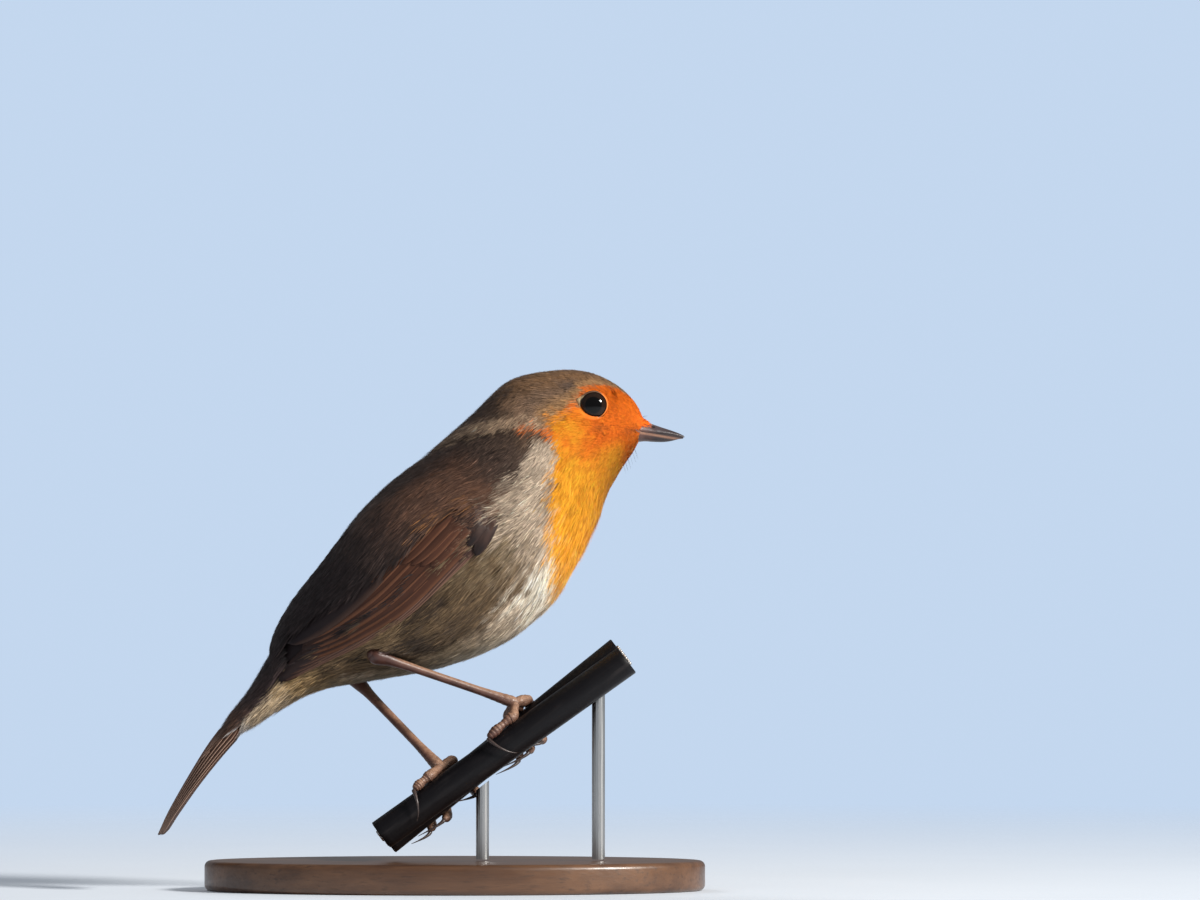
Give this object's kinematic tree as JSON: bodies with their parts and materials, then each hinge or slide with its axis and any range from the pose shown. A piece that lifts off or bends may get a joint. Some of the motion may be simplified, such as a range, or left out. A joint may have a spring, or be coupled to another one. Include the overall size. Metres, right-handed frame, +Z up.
{
  "type": "european robin",
  "caption": "Still, life-size european robin with closed wings and bill, gripping a short cut length of twin cable on a flat oval base with rods.",
  "frame": {"origin": "centre of the display base's flat underside", "axes": "+X the way the bird faces, +Y to its left, +Z up"},
  "size_m": [0.1094, 0.062, 0.1041],
  "materials": {
    "orange_plumage": "soft orange feathers of the face and breast",
    "body_plumage": "soft olive-brown, buff and cream feathers",
    "flight_feathers": "smooth warm brown flight feathers with a slight sheen",
    "horn": "smooth dark horn of the bill and claws",
    "eye": "polished, nearly black",
    "leg_scales": "dark reddish-brown scales with a low sheen",
    "cable": "black cable insulation, slightly weathered",
    "stand_wood": "dark stained wood with a satin varnish",
    "stand_steel": "fine brushed steel rod"
  },
  "bodies": {
    "root": {"head": "orange_plumage", "neck": "orange_plumage", "trunk": "body_plumage", "thigh_right": "body_plumage", "thigh_left": "body_plumage", "wing_right": "flight_feathers", "wing_left": "flight_feathers", "tail": "flight_feathers", "bill_upper": "horn", "bill_lower": "horn", "eye_right": "eye", "eye_left": "eye", "tarsus_right": "leg_scales", "tarsus_left": "leg_scales", "toe_right_1": "leg_scales", "toe_right_2": "leg_scales", "toe_right_3": "leg_scales", "toe_right_4": "leg_scales", "toe_left_1": "leg_scales", "toe_left_2": "leg_scales", "toe_left_3": "leg_scales", "toe_left_4": "leg_scales", "claw_right_1": "horn", "claw_right_2": "horn", "claw_right_3": "horn", "claw_right_4": "horn", "claw_left_1": "horn", "claw_left_2": "horn", "claw_left_3": "horn", "claw_left_4": "horn", "perch_strand_near": "cable", "perch_strand_far": "cable", "stand_base": "stand_wood", "stand_rod_low": "stand_steel", "stand_rod_high": "stand_steel"}
  },
  "joints": []
}
